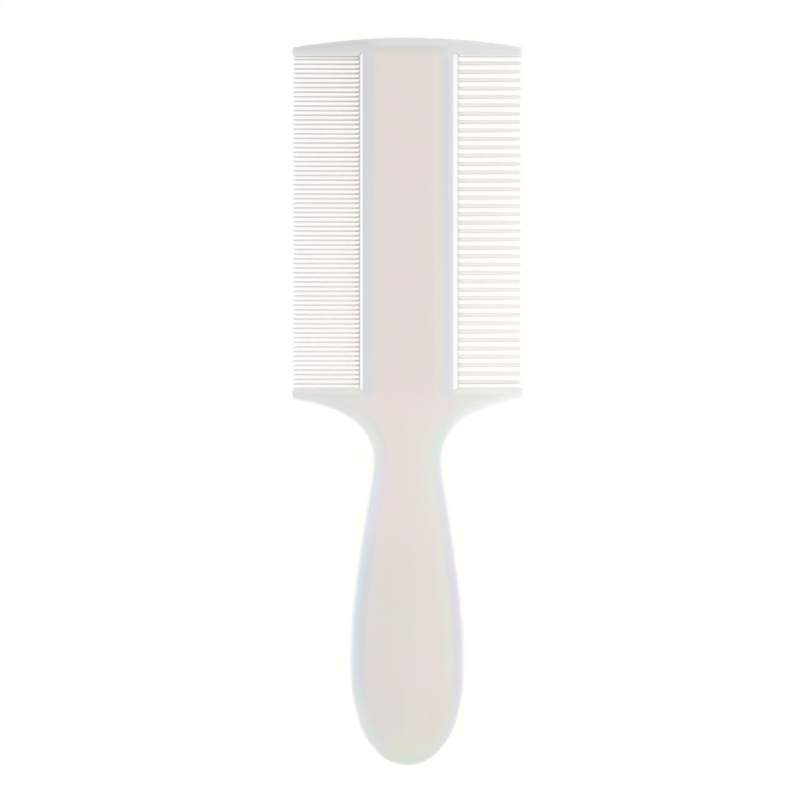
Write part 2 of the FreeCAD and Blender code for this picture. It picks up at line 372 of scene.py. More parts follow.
def add_face_points(points):
    """A few points on the flat face, slightly off a grid."""
    grid = np.array([(x + 0.03 * math.sin(y), y)
                     for y in np.arange(Y_TIP + 6, Y_TOP - 5, 2.6)
                     for x in np.arange(-14, 14.1, 2.0)])
    points += [tuple(p) for p in grid[distance(grid) > 5.6]]


def triangulate(points, edges):
    """Triangles inside the frame's edge, all anticlockwise, and their points."""
    found = delaunay_2d_cdt([Vector(p) for p in points], edges, [], 0, 1e-5)
    plan = np.array([(p.x, p.y) for p in found[0]])
    tris = np.array([tuple(f) for f in found[2]])
    tris = tris[edge_distance(plan[tris].mean(1)) > 0]
    side1, side2 = plan[tris[:, 1]] - plan[tris[:, 0]], plan[tris[:, 2]] - plan[tris[:, 0]]
    flip = side1[:, 0] * side2[:, 1] - side1[:, 1] * side2[:, 0] < 0
    tris[flip] = tris[flip][:, ::-1]
    used = np.unique(tris)
    remap = -np.ones(len(plan), int)
    remap[used] = np.arange(len(used))
    return plan[used], remap[tris].tolist()


def boundary(tris):
    """The boundary of the triangles, followed round anticlockwise."""
    # a dict keeps the order, so the loop always starts at the same point
    sides = dict.fromkeys(side for a, b, c in tris for side in ((a, b), (b, c), (c, a)))
    following = {i: j for i, j in sides if (j, i) not in sides}
    start = next(iter(following))
    loop = [start]
    while following[loop[-1]] != start:
        loop.append(following[loop[-1]])
    return loop


def frame_plan():
    points = [tuple(p) for p in edge_loop]
    count = len(points)
    edges = [(i, (i + 1) % count) for i in range(count)]
    add_rings(points, edges)
    add_end_points(points)
    add_face_points(points)
    plan, tris = triangulate(points, edges)
    return plan, tris, boundary(tris)


def frame_heights(plan):
    """Half thickness of the frame, rounded off at the square outer ends."""
    height = half_thickness(soft_distance(plan))
    at_end = (np.abs(plan[:, 0]) > HALF_W - 1.1) & (distance(plan) > 0.05)
    k = np.clip(1 - edge_distance(plan) / END_RINGS[-1], 0, 1)
    return height - np.where(at_end, 0.30 * (1 - np.sqrt(1 - 0.96 * k ** 2)), 0)


def wall_columns(verts, loop, plan, seat, notch):
    """One upright column of vertices for each boundary point. Along the spine
    (seat) it goes round a groove for the tongue, elsewhere over a fine
    parting ridge, which is flat in the notches."""
    edge = plan[loop]
    normals = normals_in(edge)
    groove_half = TONGUE_HALF + GAP

    def new(x, y, z):
        verts.append((x, y, HALF_T + z))
        return len(verts) - 1

    columns = []
    for k, (x, y) in enumerate(edge):
        column = {"top": loop[k], "bottom": loop[k] + len(plan), "seat": bool(seat[k]),
                  "corner": False}
        column["upper"] = new(x, y, groove_half)
        column["lower"] = new(x, y, -groove_half)
        if seat[k]:
            deep_x = math.copysign(SPINE - (TONGUE_IN + GAP), x)
            column["deep_upper"] = new(deep_x, y, groove_half)
            column["deep_lower"] = new(deep_x, y, -groove_half)
            if abs(y - SEAT_LOW) < 1e-3 or abs(y - SEAT_HIGH) < 1e-3:
                column["corner"] = True
                column["mid"] = new(x, y, 0.0)
        else:
            out_x, out_y = normals[k] * (0.0 if notch[k] else -PART_RIDGE)
            foot_x, foot_y = x + out_x * RIDGE_FOOT, y + out_y * RIDGE_FOOT
            column["ridge_upper"] = new(foot_x, foot_y, RIDGE_HALF)
            column["mid"] = new(x + out_x, y + out_y, 0.0)
            column["ridge_lower"] = new(foot_x, foot_y, -RIDGE_HALF)
        columns.append(column)
    return columns


def wall_faces(columns):
    faces = []
    groove = ("top", "upper", "deep_upper", "deep_lower", "lower", "bottom")
    ridged = ("top", "upper", "ridge_upper", "mid", "ridge_lower", "lower", "bottom")

    def face(a, a_names, b, b_names):
        faces.append([a[name] for name in a_names] + [b[name] for name in b_names])

    for a, b in zip(columns, columns[1:] + columns[:1]):
        if a["seat"] == b["seat"]:
            names = groove if a["seat"] else ridged
            for name, below in zip(names, names[1:]):
                face(a, (name, below), b, (below, name))
            continue
        face(a, ("top", "upper"), b, ("upper", "top"))
        face(a, ("lower", "bottom"), b, ("bottom", "lower"))
        if a["seat"]:
            face(a, ("upper", "mid"), b, ("mid", "ridge_upper", "upper"))
            face(a, ("mid", "lower"), b, ("lower", "ridge_lower", "mid"))
        else:
            face(a, ("upper", "ridge_upper", "mid"), b, ("mid", "upper"))
            face(a, ("mid", "ridge_lower", "lower"), b, ("lower", "mid"))
    # close the ends of the grooves
    for column in columns:
        if column["corner"]:
            face(column, ("upper", "deep_upper", "deep_lower", "lower", "mid"), column, ())
    return faces


def build_frame():
    plan, tris, loop = frame_plan()
    height = frame_heights(plan)
    edge = plan[loop]
    x, y = edge.T
    seat = (np.abs(np.abs(x) - SPINE) < 0.01) & (y > Y_WIN_BOT - 2)
    rail = np.where(x > 0, COARSE.rail, FINE.rail)
    depth = np.maximum(Y_WIN_BOT - y, y - Y_WIN_TOP)
    notch = ((np.abs(x) < SPINE + rail + GAP + 0.005)
             & (depth > 0.12) & (depth < SEAT + GAP + 0.01))
    height[np.array(loop)[seat | notch]] -= SEAT_DROP
    count = len(plan)
    verts = [(x, y, HALF_T + h) for (x, y), h in zip(plan, height)]
    verts += [(x, y, HALF_T - h) for (x, y), h in zip(plan, height)]
    faces = tris + [(a + count, c + count, b + count) for a, b, c in tris]
    faces += wall_faces(wall_columns(verts, loop, plan, seat, notch))
    return np.array(verts), faces


def add_piece(name, verts, faces, sharp_angle):
    """Mesh object from points in mm, with its normals made to face outwards."""
    mesh = bpy.data.meshes.new(name)
    mesh.from_pydata([tuple(v) for v in verts * FIT * MM], [], [tuple(f) for f in faces])
    mesh.validate()
    mesh.update()
    ob = bpy.data.objects.new(name, mesh)
    bpy.context.scene.collection.objects.link(ob)
    bm = bmesh.new()
    bm.from_mesh(mesh)
    bmesh.ops.remove_doubles(bm, verts=bm.verts, dist=1e-8)
    bmesh.ops.recalc_face_normals(bm, faces=bm.faces)
    bm.to_mesh(mesh)
    bm.free()
    mesh.shade_smooth()
    mesh.set_sharp_from_angle(angle=math.radians(sharp_angle))
    return ob


frame_ob = add_piece("comb_frame", *build_frame(), FRAME_SHARP)


# ------------------------------------------------------------------ frame colour
def ease(x, start, end):
    """Smooth step from 0 at start to 1 at end; start may be the larger."""
    t = np.clip((x - start) / (end - start), 0, 1)
    return t * t * (3 - 2 * t)


def lerp(a, b, k):
    a, b = np.asarray(a, float), np.asarray(b, float)
    return a + (b - a) * np.asarray(k)[..., None]


def linear(rgb):
    """Linear colour from sRGB values up to 255."""
    c = np.asarray(rgb, float) / 255.0
    return np.where(c <= 0.04045, c / 12.92, ((c + 0.055) / 1.055) ** 2.4)


def band(dist, stops):
    """Colour at a distance in from an edge."""
    table = np.array(stops, float)
    return np.stack([np.interp(dist, table[:, 0], table[:, k]) for k in (1, 2, 3)], axis=-1)


# Painted light and shade over the frame, as colour in from its edges: painted highlights on
# the thin steep edges, painted cool reflections on the shallow bevels, painted dark shade
# along the bar's arched top and the tip's end, and a warmer flat face. The L and R ramps
# differ because they carry painted light from the sides. Each stop is distance in, red,
# green, blue (sRGB). L is at -X, C in the middle and R at +X.
SPINE_L = [(0.0, 213, 214, 219), (1.2, 215, 215, 220), (1.9, 216, 216, 218),
           (2.3, 216, 216, 215), (2.8, 217, 217, 213), (3.4, 218, 217, 211),
           (3.9, 221, 217, 211), (4.4, 223, 216, 211), (5.5, 224, 215, 211)]
SPINE_R = [(0.0, 226, 225, 230), (0.4, 223, 222, 227), (0.8, 217, 217, 224),
           (1.5, 215, 216, 222), (2.1, 218, 217, 220), (2.6, 221, 218, 216),
           (3.1, 222, 218, 212), (3.6, 225, 221, 212), (4.6, 227, 221, 213),
           (5.2, 225, 217, 210), (6.5, 224, 215, 211)]
NECK_L = [(0.0, 234, 238, 242), (0.35, 228, 233, 237), (0.8, 222, 228, 232),
          (1.3, 220, 226, 231), (1.9, 221, 223, 228), (2.6, 224, 221, 225),
          (3.2, 226, 219, 221), (3.9, 226, 219, 217), (4.6, 227, 219, 214),
          (6.0, 227, 218, 212)]
NECK_R = [(0.0, 241, 240, 241), (0.35, 233, 232, 235), (0.7, 227, 226, 230),
          (1.1, 224, 223, 228), (1.7, 224, 223, 226), (2.6, 224, 224, 222),
          (3.2, 225, 225, 221), (3.8, 228, 224, 220), (4.6, 229, 222, 218),
          (6.5, 229, 220, 216)]
HAND_L = [(0.0, 230, 238, 245), (0.55, 228, 235, 242), (0.85, 218, 226, 231),
          (1.2, 215, 223, 227), (1.8, 213, 220, 224), (2.3, 211, 216, 221),
          (2.8, 211, 213, 218), (3.3, 214, 213, 217), (3.8, 217, 214, 215),
          (4.3, 220, 215, 212), (5.2, 220, 216, 209), (7.0, 221, 214, 208)]
HAND_R = [(0.0, 247, 246, 246), (0.35, 240, 239, 240), (0.75, 230, 229, 232),
          (1.1, 222, 222, 228), (1.6, 219, 218, 226), (2.6, 220, 218, 223),
          (3.2, 222, 221, 217), (3.8, 224, 223, 214), (4.7, 226, 222, 214),
          (5.7, 227, 219, 214), (7.3, 226, 217, 213)]
TIP_C = [(0.0, 210, 215, 207), (0.22, 216, 221, 213), (0.5, 220, 226, 217),
         (0.9, 217, 223, 214), (1.7, 217, 223, 214), (2.3, 221, 223, 213),
         (3.0, 222, 222, 212), (4.0, 221, 220, 209), (6.0, 220, 218, 208)]
TIP_L = [(0.0, 240, 243, 242), (0.4, 231, 234, 232), (0.9, 222, 226, 224),
         (1.4, 219, 224, 220), (2.5, 216, 222, 216), (3.1, 218, 220, 215),
         (3.6, 218, 217, 212), (4.4, 217, 214, 209), (6.0, 219, 214, 208)]
TIP_R = [(0.0, 243, 242, 244), (0.35, 233, 232, 235), (0.8, 224, 223, 226),
         (1.4, 221, 221, 222), (1.9, 221, 222, 219), (2.6, 220, 222, 216),
         (3.2, 221, 220, 211), (3.9, 224, 217, 209), (6.0, 224, 216, 208)]
WEB_L = [(0.0, 246, 247, 243), (0.35, 236, 238, 232), (0.75, 229, 231, 224),
         (1.3, 226, 228, 221), (2.0, 225, 226, 219), (2.7, 222, 222, 215),
         (3.3, 220, 220, 213), (4.0, 223, 219, 213), (5.0, 227, 219, 213)]
WEB_R = [(0.0, 249, 249, 249), (0.35, 240, 240, 240), (0.75, 230, 231, 229),
         (1.1, 225, 228, 224), (1.7, 222, 228, 221), (2.5, 222, 227, 219),
         (3.2, 224, 225, 218), (3.9, 229, 223, 219), (5.0, 230, 221, 218)]
BAR_L = [(0.0, 196, 197, 196), (0.14, 205, 206, 205), (0.3, 210, 210, 210),
         (1.5, 212, 212, 212), (3.5, 212, 212, 212), (4.2, 218, 213, 209),
         (5.0, 223, 214, 208)]
BAR_C = [(0.0, 198, 201, 195), (0.2, 208, 211, 205), (0.5, 218, 220, 215),
         (0.9, 222, 225, 219), (1.3, 225, 227, 222), (1.8, 222, 224, 219),
         (2.2, 217, 219, 214), (2.6, 213, 214, 209), (3.0, 214, 214, 210),
         (3.5, 218, 215, 211), (4.0, 222, 216, 211), (4.8, 223, 214, 207)]
BAR_R = [(0.0, 197, 199, 197), (0.14, 208, 210, 208), (0.35, 223, 226, 223),
         (0.7, 225, 228, 225), (1.5, 222, 223, 223), (2.4, 219, 221, 220),
         (3.5, 221, 223, 222), (4.5, 223, 217, 212)]
BAR_LOW_L = [(0.0, 238, 239, 238), (0.22, 226, 226, 225), (0.5, 219, 219, 219),
             (0.9, 217, 217, 217), (1.3, 213, 213, 213), (2.0, 212, 212, 212)]
BAR_LOW_R = [(0.0, 238, 240, 236), (0.22, 229, 231, 228), (0.5, 224, 225, 223),
             (1.2, 223, 224, 223), (2.0, 222, 223, 222)]
WING_UP_L = [(0.0, 226, 228, 223), (0.4, 224, 227, 221), (1.2, 223, 225, 220),
             (1.7, 221, 222, 217), (2.1, 217, 219, 213), (2.5, 217, 220, 214),
             (3.4, 221, 223, 218), (4.6, 223, 220, 212)]
WING_LOW_L = [(0.0, 247, 248, 246), (0.35, 240, 241, 239), (0.75, 230, 231, 228),
              (0.95, 221, 223, 220), (1.4, 218, 223, 217), (1.9, 221, 226, 220),
              (2.4, 218, 221, 215), (3.2, 221, 221, 214), (4.6, 225, 221, 213)]
WING_UP_R = [(0.0, 231, 232, 225), (0.6, 232, 236, 228), (1.1, 236, 239, 233),
             (1.5, 233, 237, 231), (1.8, 227, 229, 224), (2.2, 224, 225, 221),
             (2.7, 227, 228, 223), (3.6, 228, 227, 221), (4.6, 228, 223, 216)]
WING_LOW_R = [(0.0, 251, 252, 250), (0.35, 245, 248, 244), (0.9, 237, 241, 237),
              (1.4, 233, 238, 233), (1.9, 230, 233, 228), (2.4, 230, 232, 226),
              (3.0, 228, 228, 222), (4.6, 229, 224, 217)]
# plain colours, sRGB: painted shade and light for the outer ends, and the side walls' own colour
WING_RIM_END, WING_END_R = (218, 222, 217), (236, 238, 233)
BAR_END_L, BAR_END_R = (219, 218, 214), (238, 238, 238)
SIDE_WALL = (219, 217, 214)


def inward_y(points):
    """Y part of the unit direction in from the height outline."""
    e = 0.35
    slope_x = distance(points + [e, 0]) - distance(points - [e, 0])
    slope_y = distance(points + [0, e]) - distance(points - [0, e])
    return slope_y / (np.hypot(slope_x, slope_y) + 1e-6)


# In the tint functions below, the limits given to ease are places and distances
# in mm, apart from those for facing, which is the result of inward_y.
def body_tint(x, y, dist, facing):
    """Painted light and shade on the spine, neck, handle and tip, and the web under the shoulder.
    """
    across = ease(x, -5.0, 5.0)

    def pair(dist, left, right):
        return lerp(band(dist, left), band(dist, right), across)

    spine = pair(np.maximum(SPINE - np.abs(x), 0), SPINE_L, SPINE_R)
    tint = lerp(pair(dist, NECK_L, NECK_R), spine, ease(y, -3.0, 6.0))
    tint = lerp(tint, pair(dist, HAND_L, HAND_R), ease(y, -26.0, -48.0))
    # painted highlight: a crisp pale line is painted only on the wide part of the handle's left
    # side; elsewhere the left rim gets a softer painted highlight
    crisp_highlight = ease(y, -38.0, -46.0) * ease(y, -76.0, -66.0)
    soft_rim_highlight = (1 - across) * ease(dist, 1.0, 0.7) * (1 - crisp_highlight)
    rim = lerp(band(dist, NECK_L), band(dist, TIP_L), ease(y, -40.0, -70.0))
    tint = lerp(tint, rim, soft_rim_highlight * ease(y, -26.0, -30.0))
    tip = lerp(pair(dist, TIP_L, TIP_R), band(dist, TIP_C), ease(facing, 0.55, 0.93))
    tint = lerp(tint, tip, ease(y, -70.0, -82.0))
    # painted light: the web is painted greener than the neck
    in_web = ease(y, -21.0, -12.0) * ease(np.abs(x), 4.5, 7.0) * ease(y, 2.0, -3.0)
    return lerp(tint, pair(dist, WEB_L, WEB_R), in_web)


def wing_tint(x, dist, facing, wide):
    """Shoulder, with its painted light and shade: upper side along the teeth, lower side along
    the curve.
    """
    upper = lerp(band(dist, WING_UP_L), band(dist, WING_UP_R), wide)
    lower = lerp(band(dist, WING_LOW_L), band(dist, WING_LOW_R), wide)
    # the painted highlight on the lower rim fades out at the outer end of the left wing
    rim_end = ease(x, -24.5, -28.0) * ease(dist, 1.4, 0.8)
    lower = lerp(lower, WING_RIM_END, 0.85 * rim_end)
    return lerp(upper, lower, ease(facing, -0.35, 0.35))


def bar_tint(x, dist, facing, wide):
    """End bar, with its painted light and shade: its arched top, painted darker at the edge, and
    the straight side along the teeth, painted lighter at the edge.
    """
    top = lerp(band(dist, BAR_L), band(dist, BAR_C), ease(x, -13.0, -5.0))
    top = lerp(top, band(dist, BAR_R), ease(x, 6.0, 14.0))
    low = lerp(band(dist, BAR_LOW_L), band(dist, BAR_LOW_R), wide)
    return lerp(low, top, ease(facing, 0.35, -0.35))


def frame_tints(points):
    """Painted light and shade over the frame, from where a point is and how far in it
    is from the outline."""
    x, y = points[:, 0], points[:, 1]
    dist = distance(points)
    facing = inward_y(points)
    wide = ease(x, -24.0, 24.0)
    tint = body_tint(x, y, dist, facing)
    in_wing = ease(np.abs(x), 9.5, 13.5) * ease(y, -15.0, -5.0)
    in_wing *= ease(y, Y_WIN_BOT + 4.0, Y_WIN_BOT + 1.0)
    tint = lerp(tint, wing_tint(x, dist, facing, wide), in_wing)
    out = ease(np.abs(x), SPINE - 3.0, SPINE + 0.2)
    in_bar = np.maximum(ease(y, Y_TOP - 5.6, Y_TOP - 4.2),
                        out * ease(y, Y_WIN_TOP - 2.0, Y_WIN_TOP - 0.4))
    tint = lerp(tint, bar_tint(x, dist, facing, wide), in_bar)
    # painted shade and light on the outer ends of the bar, the left end shaded and the right end
    # lit, and painted light on the right end of the shoulder
    end = ease(np.abs(x), HALF_W - 1.6, HALF_W - 0.4) * in_bar
    tint = lerp(tint, lerp(BAR_END_L, BAR_END_R, wide), 0.8 * end)
    end = ease(x, HALF_W - 1.3, HALF_W - 0.3) * in_wing
    tint = lerp(tint, WING_END_R, 0.6 * end)
    # painted reflection: the spine's bevels are painted greyer near the bar and bluer near the
    # shoulder
    along = (y - 46.0) / 40.0
    bevel = ease(SPINE - np.abs(x), 4.0, 2.4)
    bevel = bevel * ease(y, 2.0, 8.0) * ease(y, Y_WIN_TOP, Y_WIN_TOP - 4)
    shift = np.clip(-along, -1, 1)[:, None] * np.array([2.0, 2.0, 3.0])
    return linear(tint + bevel[:, None] * shift)


def set_tint(ob, colours):
    attribute = ob.data.color_attributes.new("tint", "FLOAT_COLOR", "POINT")
    rgba = np.c_[colours, np.ones(len(colours))].astype(np.float32)
    attribute.data.foreach_set("color", rgba.ravel())


def mesh_points(ob):
    """Vertex places in mm."""
    co = np.zeros(len(ob.data.vertices) * 3)
    ob.data.vertices.foreach_get("co", co)
    return co.reshape(-1, 3) / MM


def tint_frame(ob):
    points = mesh_points(ob)
    # points above one another share a colour, worked out once
    plan, back = np.unique(np.round(points[:, :2], 4), axis=0, return_inverse=True)
    colours = frame_tints(plan)[back.ravel()]
    # the upright side walls carry the plain colour of the moulding
    from_middle = np.abs(points[:, 2] - HALF_T)
    set_tint(ob, lerp(colours, linear(SIDE_WALL), ease(from_middle, 0.92, 0.70)))


tint_frame(frame_ob)

# ------------------------------------------------------------------ strips
WALL = 0.985                  # half height of the rail's outer wall
MID_WALL = 0.5 * WALL
BEVEL_OUT = 0.110             # the rail's bevel starts this far in from its edge,
BEVEL_OUT_Z = WALL + 0.140    # at this half height,
BEVEL_IN_X = SPINE + 0.055    # and ends here,
BEVEL_IN_Z = 1.728            # at this half height
END_DROP = 0.04               # a rail's two ends are this much thinner
TOOTH_HALF = 0.955            # half thickness of a tooth at its root
POINT_THICK = 0.62            # share of that left where the rounded end starts

# tooth root: distance out from the rail, flare
ROOT_STATIONS = [(0.0, 0.10), (0.05, 0.045), (0.13, 0.0)]
SHAFT_STATIONS = (0.10, 0.3, 0.52, 0.76, 1.0)     # shares of the shaft's length
# rounded end: share of its length, share of the width, share of the thickness
POINT_STATIONS = [(0.30, 0.955, 0.90), (0.55, 0.87, 0.76), (0.76, 0.73, 0.60),
                  (0.90, 0.54, 0.44), (0.975, 0.34, 0.30), (1.0, 0.16, 0.16)]


def section_quarter(land, mid, half):
    """One quarter of a rounded six-sided tooth section, from the parting
    plane up to the middle of the land: (y, z)."""
    return [(mid, 0.0),
            (mid - 0.40 * (mid - land), 0.45 * half),
            (land + 0.10 * (mid - land), 0.86 * half),
            (land * 0.90, 0.965 * half),
            (land * 0.50, half),
            (0.0, half * 1.004)]


def ring_from_quarter(quarter):
    """Full anticlockwise ring of 20 points from a quarter of 6."""
    ring = list(quarter)
    ring += [(-y, z) for y, z in quarter[4::-1]]
    ring += [(-y, -z) for y, z in quarter[1:5]]
    ring += [(y, -z) for y, z in quarter[5:0:-1]]
    return ring


def tooth_stations(strip):
    """(distance out, width share, thickness share, flare) along a tooth."""
    stations = [(out, 1.0, 1.0, flare) for out, flare in ROOT_STATIONS]
    root = ROOT_STATIONS[-1][0]
    straight = strip.tip - strip.point - (SPINE + strip.rail)
    stations += [(root + (straight - root) * k, 1 - (1 - strip.shrink) * k,
                  1 - (1 - POINT_THICK) * k, 0.0) for k in SHAFT_STATIONS]
    stations += [(straight + strip.point * k, strip.shrink * wide, POINT_THICK * thick, 0.0)
                 for k, wide, thick in POINT_STATIONS]
    return stations


def flared(value, flare):
    """Push a coordinate away from zero, leaving the middle alone."""
    return value + math.copysign(flare, value) if abs(value) > 1e-6 else value


def row_places(centres, pitch):
    """Every y where the rail has a row of points."""
    def between(start, end, step):
        parts = max(1, int((end - start) / step))
        return [start + (end - start) * k / parts for k in range(1, parts)]

    mitre = (0.3, 0.6, 0.85, 1.0)
    first, last = centres[0] - pitch / 2, centres[-1] + pitch / 2
    places = [RAIL_LOW, RAIL_LOW + 0.05] + [RAIL_LOW + SLANT * k for k in mitre]
    places += between(places[-1], first, 0.5)
    places += [c + pitch / 2 * k for c in centres for k in (-1, -0.66, -0.33, 0, 0.33, 0.66)]
    places += [last] + between(last, RAIL_HIGH - SLANT, 0.3)
    places += [RAIL_HIGH - SLANT * k for k in reversed(mitre)]
    return places + [RAIL_HIGH - 0.05, RAIL_HIGH]


class StripMesh:
    """One closed mesh, at +X and about z = 0: rail, tongue and every tooth."""

    def __init__(self, strip):
        self.strip = strip
        self.edge = SPINE + strip.rail
        self.verts, self.faces, self.known = [], [], {}
        self.centres = sorted(Y_TOP - strip.first - i * strip.pitch
                              for i in range(strip.count))
        self.places = row_places(self.centres, strip.pitch)
        rows = self.add_rail()
        self.add_plain_walls()
        self.add_caps(rows)
        self.add_teeth()

    def vertex(self, x, y, z):
        """Index of a vertex, shared with any earlier one in the same place."""
        key = (round(x, 5), round(y, 5), round(z, 5))
        if key not in self.known:
            self.known[key] = len(self.verts)
            self.verts.append((x, y, z))
        return self.known[key]

    def limit(self, y):
        """Outer edge of the rail, cut slanting at its two ends."""
        k = min(y - RAIL_LOW, RAIL_HIGH - y) / SLANT
        return self.edge - MITRE * self.strip.rail * max(0.0, 1 - k)

    def bevel(self, x):
        """Half height of the rail's bevel."""
        start = self.edge - BEVEL_OUT
        k = (x - start) / (BEVEL_IN_X - start)
        return BEVEL_OUT_Z + (BEVEL_IN_Z - BEVEL_OUT_Z) * min(1.0, max(0.0, k))

    def upper_section(self):
        """Rail section (x, z) from above the outer wall in to the tongue's end."""
        edge = self.edge
        section = [(edge - 0.012, WALL + 0.035), (edge - 0.050, WALL + 0.085),
                   (edge - BEVEL_OUT, BEVEL_OUT_Z)]
        # a shallow groove runs along the foot of the rail's bevel
        for x, drop in ((edge - 0.20, 0.045), (edge - 0.31, 0.050), (edge - 0.40, 0.0),
                        (edge - 0.50, 0.0), (0.5 * (edge - 0.50 + BEVEL_IN_X), 0.0)):
            section.append((x, self.bevel(x) - drop))
        section += [(BEVEL_IN_X, BEVEL_IN_Z), (SPINE + 0.018, 1.722), (SPINE, 1.700)]
        section += [(SPINE, TONGUE_HALF + 0.05), (SPINE - 0.05, TONGUE_HALF),
                    (SPINE - TONGUE_IN + 0.12, TONGUE_HALF),
                    (SPINE - TONGUE_IN, TONGUE_HALF - 0.12)]
        return section

    def add_rail(self):
        upper = self.upper_section()
        section = [(self.edge, WALL)] + upper
        section += [(x, -z) for x, z in reversed(section)]
        rows = []
        for y in self.places:
            far = self.limit(y)
            drop = END_DROP if y in (RAIL_LOW, RAIL_HIGH) else 0.0
            highest = max([abs(z) for x, z in upper if x >= far] + [0.0])
            row = []
            for x, z in section:
                if x > far:
                    # the highest point that is cut off takes the bevel's height
                    if abs(abs(z) - highest) < 1e-9 and highest > WALL + 0.01:
                        z = math.copysign(self.bevel(far), z)
                    x = far
                row.append(self.vertex(x, y, z - math.copysign(min(abs(z), drop), z)))
            rows.append(row)
        for a, b in zip(rows, rows[1:]):
            for j in range(len(section) - 1):
                self.faces.append((a[j], a[j + 1], b[j + 1], b[j]))
        return rows

    def add_plain_walls(self):
        """Outer wall before the first tooth and after the last."""
        half = self.strip.pitch / 2
        first, last = self.centres[0] - half, self.centres[-1] + half

        def point(y, z):
            if y in (RAIL_LOW, RAIL_HIGH) and abs(z) > WALL - 1e-6:
                z -= math.copysign(END_DROP, z)
            return self.vertex(self.limit(y), y, z)

        levels = [WALL, MID_WALL, 0.0, -MID_WALL, -WALL]
        for part in ([y for y in self.places if y <= first + 1e-6],
                     [y for y in self.places if y >= last - 1e-6]):
            for y, next_y in zip(part, part[1:]):
                for z, below in zip(levels, levels[1:]):
                    self.faces.append((point(y, z), point(next_y, z),
                                       point(next_y, below), point(y, below)))

    def add_caps(self, rows):
        for y, row in ((RAIL_LOW, rows[0]), (RAIL_HIGH, rows[-1])):
            cap = row + [self.vertex(self.limit(y), y, z) for z in (-MID_WALL, 0.0, MID_WALL)]
            self.faces.append(tuple(cap) if y == RAIL_HIGH else tuple(reversed(cap)))

    def add_teeth(self):
        strip, half = self.strip, self.strip.pitch / 2
        cell = ring_from_quarter([(half, 0.0), (half, MID_WALL), (half, WALL),
                                  (half * 0.66, WALL), (half * 0.33, WALL), (0.0, WALL)])
        stations = tooth_stations(strip)
        for centre in self.centres:
            # how far this tooth's tip strays sideways and up
            bend_y = rng.normal(0, 0.012)
            bend_z = rng.normal(0, 0.010)
            previous = [self.vertex(self.edge, centre + y, z) for y, z in cell]
            for out, wide, thick, flare in stations:
                bent = (out / (strip.tip - self.edge)) ** 2
                flare_y = min(flare, 0.30 * (half - strip.mid))
                flare_z = min(flare, 0.012)
                current = []
                for y, z in ring_from_quarter(section_quarter(
                        strip.land * wide, strip.mid * wide, TOOTH_HALF * thick)):
                    current.append(len(self.verts))
                    self.verts.append((self.edge + out,
                                       centre + flared(y, flare_y) + bend_y * bent,
                                       flared(z, flare_z) + bend_z * bent))
                count = len(current)
                for j in range(count):
                    k = (j + 1) % count
                    self.faces.append((previous[j], previous[k], current[k], current[j]))
                previous = current
            self.faces.append(tuple(previous))


def add_strip(name, strip, side):
    built = StripMesh(strip)
    verts = np.array(built.verts)
    verts[:, 2] += HALF_T
    verts[:, 0] *= side
    ob = add_piece(name, verts, built.faces, STRIP_SHARP)
    ob["sharp"] = STRIP_SHARP
    return ob


def tint_strip(ob, strip, lift, **srgb):
    """White painted highlight on the rail, with a painted grey shade line along its outer edge,
    dotted with darker painted shade where the teeth start; the teeth's tones carry painted
    light and shade too, the fine side darker. lift: how much paler at the handle end, a
    painted light gradient."""
    points = mesh_points(ob)
    y = points[:, 1]
    out = np.abs(points[:, 0]) - (SPINE + strip.rail)
    rail, groove, root, tooth, tip = (
        linear(srgb[part]) for part in ("rail", "groove", "root", "tooth", "tip"))
    phase = (Y_TOP - strip.first - y) / strip.pitch
    at_tooth = 0.5 + 0.5 * np.cos(2 * np.pi * phase)
    colour = lerp(root, tooth, ease(out, 0.25, 2.2))
    colour = lerp(colour, tip, ease(out, 6.0, strip.tip - SPINE - strip.rail))
    # painted light: paler towards the handle end
    low = ease(y, Y_WIN_TOP, Y_WIN_BOT)
    colour = colour * (1 + (low - 0.5) * lift)[:, None]
    in_window = (y > Y_WIN_BOT + 0.1) & (y < Y_WIN_TOP - 0.1)
    # painted shade: the rail's outer edge is painted grey, darker where a tooth starts, and a
    # little grey beyond the window
    root_shade = np.where(in_window[:, None], lerp(groove, root * 0.80, at_tooth), rail * 0.9)
    colour = lerp(colour, root_shade, ease(out, 0.22, 0.02))
    # painted highlight: the rail is painted white
    colour = lerp(colour, rail, ease(out, -0.34, -0.50))
    if strip is COARSE:
        # painted shade: a darker line in the crease where the rail meets the spine
        colour = lerp(colour, rail * 0.80, ease(points[:, 0], SPINE + 0.30, SPINE + 0.02))
    set_tint(ob, colour)


fine_ob = add_strip("fine_teeth", FINE, side=-1)
coarse_ob = add_strip("coarse_teeth", COARSE, side=1)
# rail: painted highlight; groove and root: painted shade; tooth and tip: the teeth's tones with
# painted light and shade
tint_strip(fine_ob, FINE, lift=0.10, rail=(255, 255, 255), groove=(215, 215, 214),
           root=(206, 206, 203), tooth=(224, 220, 214), tip=(210, 212, 213))
tint_strip(coarse_ob, COARSE, lift=0.06, rail=(253, 254, 252), groove=(231, 232, 229),
           root=(237, 238, 235), tooth=(236, 233, 227), tip=(235, 232, 226))

for ob, node, slot in ((frame_ob, "frame_handle", "frame_plastic"),
                       (fine_ob, "fine_tooth_strip", "fine_strip_plastic"),
                       (coarse_ob, "coarse_tooth_strip", "coarse_strip_plastic")):
    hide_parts(node)
    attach(ob, "root")


